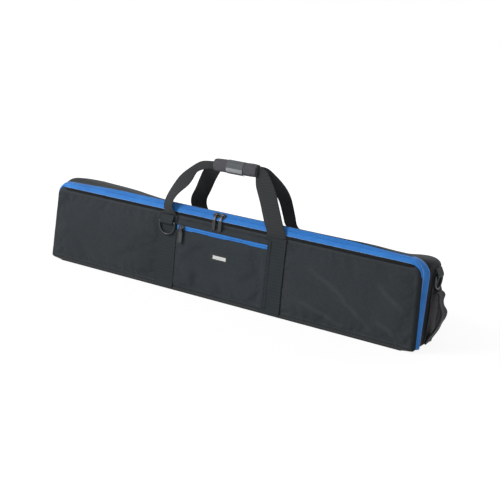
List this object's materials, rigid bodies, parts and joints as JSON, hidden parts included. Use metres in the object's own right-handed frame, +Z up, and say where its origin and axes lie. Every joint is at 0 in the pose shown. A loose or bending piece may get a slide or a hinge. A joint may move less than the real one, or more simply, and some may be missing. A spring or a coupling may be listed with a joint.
{
  "type": "telescope carry case",
  "caption": "Long soft padded carry case in black nylon with blue zips, a drop-down front lid, webbing carry handles, grab handles and rings",
  "frame": {"origin": "middle of the underside, half way along the case and half way between the front panel and the back panel", "axes": "+X along the case to the right as seen from the front, the front panel faces -Y, +Z up"},
  "size_m": [1.058, 0.1663, 0.3316],
  "materials": {
    "nylon": "matte",
    "foam": "matte",
    "lining": "matte",
    "zip_tape": "satin",
    "zip_coil": "satin",
    "webbing": "matte",
    "grip_wrap": "matte",
    "grip_band": "matte",
    "label": "matte",
    "slider_metal": "satin",
    "pull_rubber": "matte",
    "ring_metal": "satin"
  },
  "bodies": {
    "tub": {"base_panel": "nylon", "base_foam": "foam", "back_panel": "nylon", "back_foam": "foam", "top_panel": "nylon", "top_foam": "foam", "left_end_panel": "nylon", "left_end_foam": "foam", "right_end_panel": "nylon", "right_end_foam": "foam", "tub_lining": "lining", "tub_zip_tape": "zip_tape", "tub_zip_coil": "zip_coil", "rear_strap_left": "webbing", "rear_strap_right": "webbing", "end_strap_left": "webbing", "end_strap_right": "webbing", "grab_handle_left": "webbing", "grab_handle_right": "webbing", "end_tab_left": "webbing", "end_tab_right": "webbing"},
    "lid": {"lid_panel": "nylon", "lid_foam": "foam", "lid_lining": "lining", "lid_zip_tape": "zip_tape", "lid_zip_coil": "zip_coil", "front_strap_left": "webbing", "front_strap_right": "webbing", "pocket_panel": "nylon", "pocket_facing": "nylon", "pocket_zip_tape": "zip_tape", "pocket_zip_coil": "zip_coil", "pocket_label": "label", "front_tab": "webbing"},
    "front_handle": {"front_webbing": "webbing", "front_grip": "grip_wrap", "grip_band": "grip_band"},
    "rear_handle": {"rear_webbing": "webbing", "rear_grip": "grip_wrap"},
    "left_slider": {"main_slider_left": "slider_metal"},
    "right_slider": {"main_slider_right": "slider_metal"},
    "left_pull": {"main_pull_left": "pull_rubber"},
    "right_pull": {"main_pull_right": "pull_rubber"},
    "pocket_slider_body": {"pocket_slider": "slider_metal"},
    "pocket_pull_body": {"pocket_pull": "pull_rubber"},
    "front_ring_body": {"front_ring": "ring_metal"},
    "left_ring_body": {"left_ring": "ring_metal"},
    "right_ring_body": {"right_ring": "ring_metal"}
  },
  "joints": [
    {"name": "lid_hinge", "type": "hinge", "parent": "tub", "child": "lid", "pos_m": [0, -0.075, 0.0015], "axis": [1, 0, 0], "range_deg": [0, 84]},
    {"name": "front_handle_fold", "type": "hinge", "parent": "lid", "child": "front_handle", "pos_m": [0, -0.0763, 0.1897], "axis": [-1, 0, 0], "range_deg": [-130, 0]},
    {"name": "rear_handle_fold", "type": "hinge", "parent": "tub", "child": "rear_handle", "pos_m": [0, 0.0763, 0.14862], "axis": [1, 0, 0], "range_deg": [-150, 0]},
    {"name": "left_slider_run", "type": "slide", "parent": "lid", "child": "left_slider", "axis": [1, 0, 0], "range_m": [-0.06, 0]},
    {"name": "right_slider_run", "type": "slide", "parent": "lid", "child": "right_slider", "axis": [1, 0, 0], "range_m": [0, 0.075]},
    {"name": "left_pull_swing", "type": "hinge", "parent": "left_slider", "child": "left_pull", "pos_m": [-0.0183, -0.07244, 0.20644], "axis": [-1, 0, 0], "range_deg": [0, 170]},
    {"name": "right_pull_swing", "type": "hinge", "parent": "right_slider", "child": "right_pull", "pos_m": [-0.0017, -0.07244, 0.20644], "axis": [-1, 0, 0], "range_deg": [0, 170]},
    {"name": "pocket_slider_run", "type": "slide", "parent": "lid", "child": "pocket_slider_body", "axis": [1, 0, 0], "range_m": [0, 0.216]},
    {"name": "pocket_pull_swing", "type": "hinge", "parent": "pocket_slider_body", "child": "pocket_pull_body", "pos_m": [-0.1044, -0.0859, 0.158], "axis": [-1, 0, 0], "range_deg": [0, 170]},
    {"name": "front_ring_swing", "type": "hinge", "parent": "lid", "child": "front_ring_body", "pos_m": [-0.147, -0.0814, 0.165], "axis": [1, 0, 0], "range_deg": [-60, 0]},
    {"name": "left_ring_swing", "type": "hinge", "parent": "tub", "child": "left_ring_body", "pos_m": [-0.5064, 0, 0.161], "axis": [0, -1, 0], "range_deg": [-95, 0]},
    {"name": "right_ring_swing", "type": "hinge", "parent": "tub", "child": "right_ring_body", "pos_m": [0.5064, 0, 0.161], "axis": [0, 1, 0], "range_deg": [-95, 0]}
  ]
}
